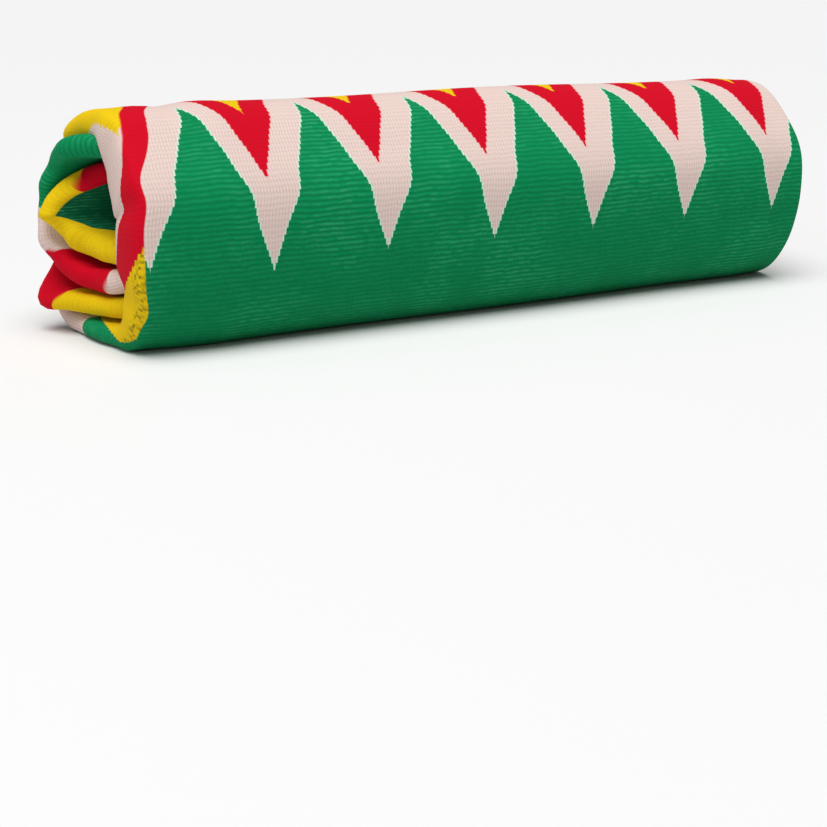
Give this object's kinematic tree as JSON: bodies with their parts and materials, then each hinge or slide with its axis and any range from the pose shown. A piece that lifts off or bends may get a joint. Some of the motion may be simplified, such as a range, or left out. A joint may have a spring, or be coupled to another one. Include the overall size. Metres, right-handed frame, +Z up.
{
  "type": "folded kente cloth",
  "caption": "Woven cotton cloth folded to a long packet and rolled up loosely, green with a zigzag border in white, red and yellow.",
  "frame": {"origin": "middle of the roll's length and depth, on the surface it rests on", "axes": "+X along the roll, -Y its front, +Z up"},
  "size_m": [0.426, 0.1096, 0.1158],
  "materials": {
    "woven_cotton": "woven cotton with a fine rib, matt, green with a white, red and yellow zigzag"
  },
  "bodies": {
    "root": {"rolled_cloth": "woven_cotton"}
  },
  "joints": []
}
